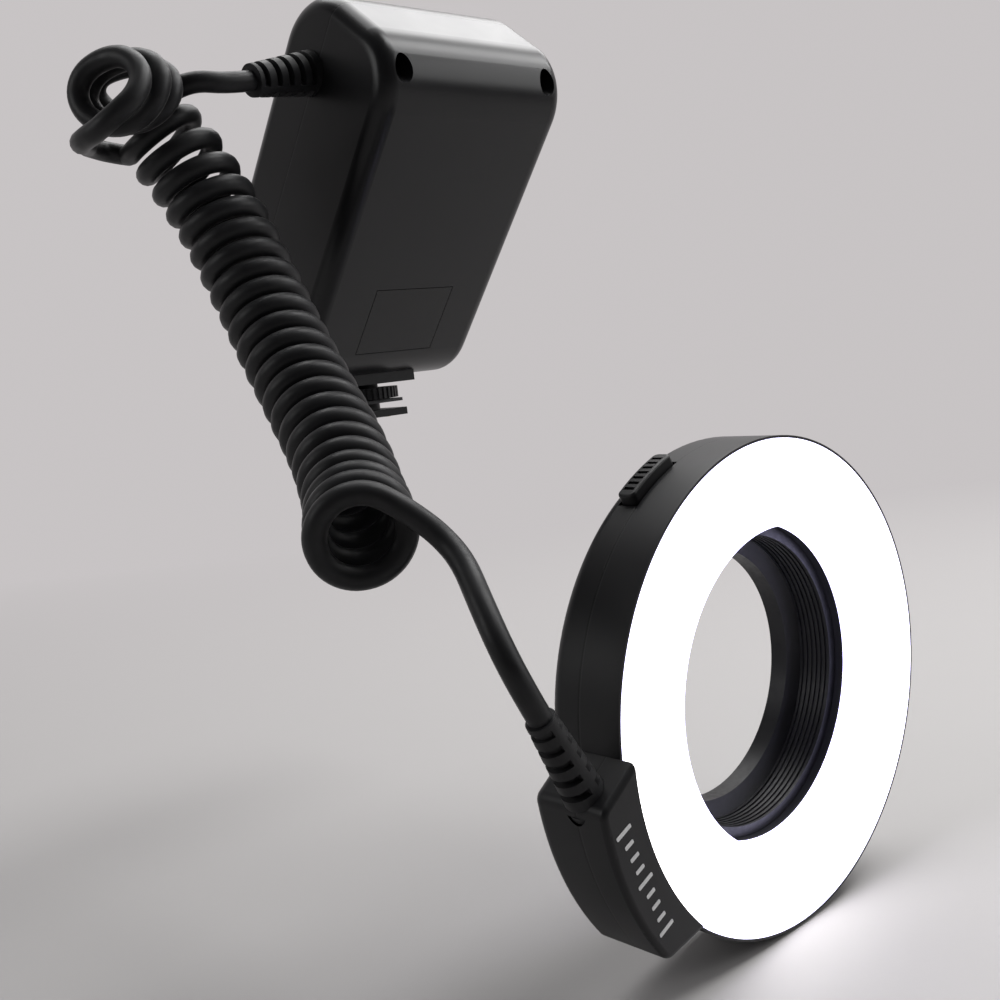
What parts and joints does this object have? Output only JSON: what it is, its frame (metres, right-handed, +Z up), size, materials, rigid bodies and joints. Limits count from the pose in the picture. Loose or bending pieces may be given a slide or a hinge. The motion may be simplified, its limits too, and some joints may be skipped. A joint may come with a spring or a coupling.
{
  "type": "macro ring light",
  "caption": "Ring light head for a lens thread with a bright round diffuser, joined by a coiled cord to a leaning shoe-mounted controller with display, keys and battery door.",
  "frame": {"origin": "centre of the seat where the lens adapter ring meets the lens rim", "axes": "+Y runs backwards along the lens axis (the light shines along -Y), +Z is up, +X is the side with the battery door"},
  "size_m": [0.141, 0.1591, 0.2137],
  "materials": {
    "adapter_black": "black anodised",
    "battery_can": "gloss",
    "bore_black": "matt",
    "case_black": "fine satin",
    "circuit_board": "satin",
    "clamp_metal": "black",
    "contact_brass": "polished",
    "contact_steel": "satin",
    "cord_black": "satin",
    "diffuser_white": "satin",
    "display_grey": "satin",
    "foot_black": "satin",
    "gloss_black": "semi-gloss",
    "inner_black": "matt",
    "key_amber": "matt",
    "key_grey": "matt",
    "latch_black": "satin",
    "led_chip": "gloss",
    "panel_black": "gloss",
    "pod_black": "fine satin",
    "relief_rubber": "satin",
    "screw_steel": "satin",
    "slider_grey": "satin",
    "switch_black": "matt",
    "wheel_black": "satin",
    "window_glass": "clear"
  },
  "bodies": {
    "light": {"batteries": "battery_can", "battery_tray": "inner_black", "board_screws": "screw_steel", "bore_tube": "bore_black", "case_screws": "screw_steel", "coil_cord": "cord_black", "contact_pins": "contact_brass", "controller_back_shell": "gloss_black", "controller_front_shell": "gloss_black", "controller_strain_relief": "relief_rubber", "cord_controller_lead": "cord_black", "cord_head_lead": "cord_black", "diffuser_cover": "diffuser_white", "display_module": "display_grey", "display_window": "window_glass", "door_pin": "screw_steel", "fixed_contacts": "contact_steel", "foot_pedestal": "foot_black", "front_panel": "panel_black", "head_front_shell": "case_black", "head_rear_shell": "case_black", "head_screws": "screw_steel", "key_switches": "switch_black", "led_board": "circuit_board", "leds": "led_chip", "main_board": "circuit_board", "pod_front_cover": "pod_black", "pod_rear_housing": "pod_black", "pod_screws": "screw_steel", "pod_strain_relief": "relief_rubber", "pod_terminal_board": "circuit_board", "shoe_foot": "foot_black"},
    "adapter": {"adapter_ring": "adapter_black"},
    "upper_latch": {"latch_upper": "latch_black"},
    "lower_latch": {"latch_lower": "latch_black"},
    "clamp": {"clamp_plate": "clamp_metal"},
    "wheel": {"lock_wheel": "wheel_black"},
    "mode_key": {"key_mode": "key_grey"},
    "lamp_key": {"key_lamp": "key_grey"},
    "minus_key": {"key_minus": "key_grey"},
    "test_key": {"key_test": "key_amber"},
    "plus_key": {"key_plus": "key_grey"},
    "slider": {"power_slider": "slider_grey"},
    "door": {"battery_door": "gloss_black", "door_contacts": "contact_steel"}
  },
  "joints": [
    {"name": "adapter_turn", "type": "hinge", "parent": "light", "child": "adapter", "pos_m": [0, 0, 0], "axis": [0, 1, 0], "continuous": true},
    {"name": "latch_upper_press", "type": "slide", "parent": "light", "child": "upper_latch", "axis": [0.454, 0, -0.891], "range_m": [0, 0.0016], "stiffness_N_per_m": 600, "springref_m": -0.0015},
    {"name": "latch_lower_press", "type": "slide", "parent": "light", "child": "lower_latch", "axis": [-0.454, 0, 0.891], "range_m": [0, 0.0016], "stiffness_N_per_m": 600, "springref_m": -0.0015},
    {"name": "clamp_rise", "type": "slide", "parent": "light", "child": "clamp", "axis": [0, 0, 1], "range_m": [0, 0.0009]},
    {"name": "wheel_turn", "type": "hinge", "parent": "clamp", "child": "wheel", "pos_m": [0, 0.1165, 0.06665], "axis": [0, 0, 1], "range_deg": [0, 324]},
    {"name": "key_mode_press", "type": "slide", "parent": "light", "child": "mode_key", "axis": [0, -0.7771, -0.6293], "range_m": [0, 0.0008], "stiffness_N_per_m": 900, "springref_m": -0.0005},
    {"name": "key_lamp_press", "type": "slide", "parent": "light", "child": "lamp_key", "axis": [0, -0.7771, -0.6293], "range_m": [0, 0.0008], "stiffness_N_per_m": 900, "springref_m": -0.0005},
    {"name": "key_minus_press", "type": "slide", "parent": "light", "child": "minus_key", "axis": [0, -0.7771, -0.6293], "range_m": [0, 0.0008], "stiffness_N_per_m": 900, "springref_m": -0.0005},
    {"name": "key_test_press", "type": "slide", "parent": "light", "child": "test_key", "axis": [0, -0.7771, -0.6293], "range_m": [0, 0.0008], "stiffness_N_per_m": 900, "springref_m": -0.0005},
    {"name": "key_plus_press", "type": "slide", "parent": "light", "child": "plus_key", "axis": [0, -0.7771, -0.6293], "range_m": [0, 0.0008], "stiffness_N_per_m": 900, "springref_m": -0.0005},
    {"name": "power_slide", "type": "slide", "parent": "light", "child": "slider", "axis": [1, 0, 0], "range_m": [0, 0.004]},
    {"name": "door_swing", "type": "hinge", "parent": "light", "child": "door", "pos_m": [0.0274, 0.09817, 0.11569], "axis": [0, -0.6293, 0.7771], "range_deg": [0, 95]}
  ],
  "couplings": [
    {"joint": "wheel_turn", "follows": "clamp_rise", "rad_per_m": 6283.2}
  ]
}
